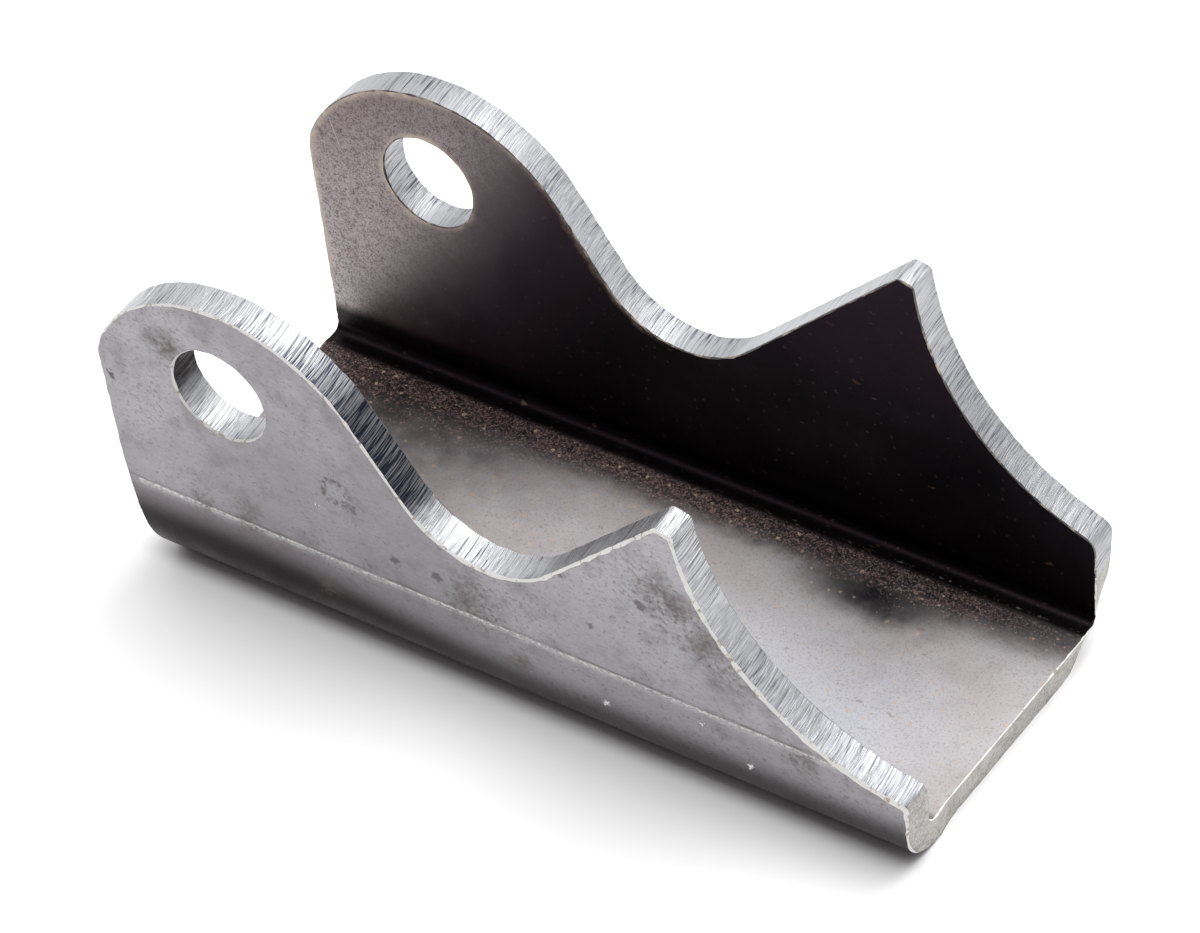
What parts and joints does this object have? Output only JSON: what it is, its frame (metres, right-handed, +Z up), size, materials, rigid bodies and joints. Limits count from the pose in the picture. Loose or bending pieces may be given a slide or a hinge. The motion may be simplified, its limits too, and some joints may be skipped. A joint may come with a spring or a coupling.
{
  "type": "shock absorber bracket",
  "caption": "Folded steel channel bracket with a bolt hole through both lugs for a shock absorber and round saddles that weld to an axle tube crossing at a slight angle.",
  "frame": {"origin": "middle of the bracket's length and width, on the underside of its base", "axes": "+X along the channel from the shock bolt to the axle, +Y along the shock bolt, +Z up from the base"},
  "size_m": [0.1194, 0.052, 0.0519],
  "materials": {
    "steel": "bare hot-rolled plate with mill scale and bright cut edges"
  },
  "bodies": {
    "root": {"bracket": "steel"}
  },
  "joints": []
}
